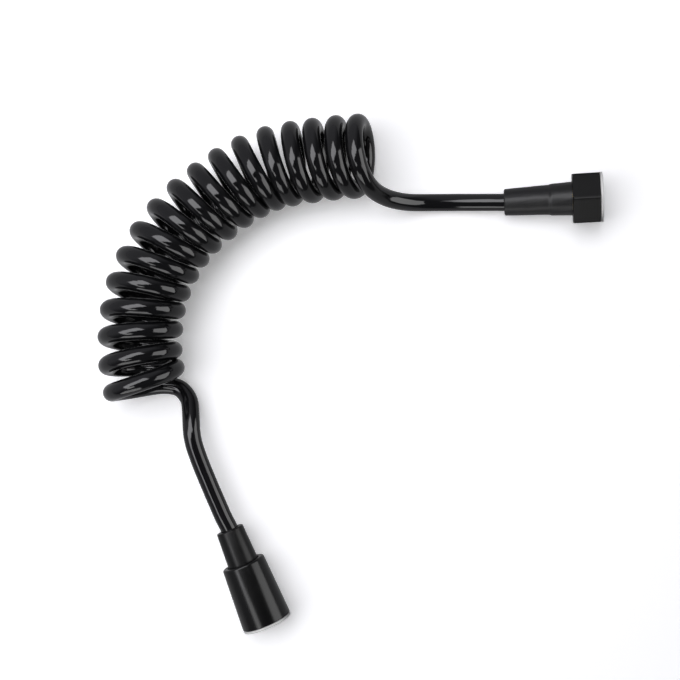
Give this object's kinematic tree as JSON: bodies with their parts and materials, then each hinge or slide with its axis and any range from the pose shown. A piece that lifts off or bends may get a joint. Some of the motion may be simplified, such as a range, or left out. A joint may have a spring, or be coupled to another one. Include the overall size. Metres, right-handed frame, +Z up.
{
  "type": "coiled shower hose",
  "caption": "Black coiled shower hose with a swivelling hexagonal nut on one end and a swivelling conical nut on the other, lying on a flat surface.",
  "frame": {"origin": "on the surface it lies on, under the middle of the box round its two fittings", "axes": "+Z up from the surface; +X from the coil towards the hexagonal nut; +Y from the conical nut towards the hexagonal nut"},
  "size_m": [0.2484, 0.2541, 0.0408],
  "materials": {
    "hose_plastic": "glossy black",
    "nut_shell": "satin black",
    "cone_shell": "half gloss black",
    "thread_core": "moulded white",
    "shrink_sleeve": "shrunk, slightly wrinkled",
    "insert_metal": "turned",
    "washer_rubber": "moulded"
  },
  "bodies": {
    "hose": {"hose_coil": "hose_plastic", "hose_tail_hex_end": "hose_plastic", "hose_tail_cone_end": "hose_plastic", "hex_insert": "insert_metal", "hex_washer": "washer_rubber", "hex_ferrule": "insert_metal", "hex_shrink_sleeve": "shrink_sleeve", "cone_insert": "insert_metal", "cone_washer": "washer_rubber", "cone_ferrule": "insert_metal", "cone_collar": "cone_shell"},
    "hex_coupling_nut": {"hex_nut": "nut_shell", "hex_nut_core": "thread_core"},
    "cone_coupling_nut": {"cone_nut": "cone_shell", "cone_nut_core": "thread_core"}
  },
  "joints": [
    {"name": "hex_nut_swivel", "type": "hinge", "parent": "hose", "child": "hex_coupling_nut", "pos_m": [0.08018, 0.10024, 0.01384], "axis": [0.9827, 0.0343, 0.1822], "continuous": true},
    {"name": "cone_nut_swivel", "type": "hinge", "parent": "hose", "child": "cone_coupling_nut", "pos_m": [-0.07723, -0.09298, 0.01235], "axis": [0.3746, -0.9272, 0], "continuous": true}
  ]
}
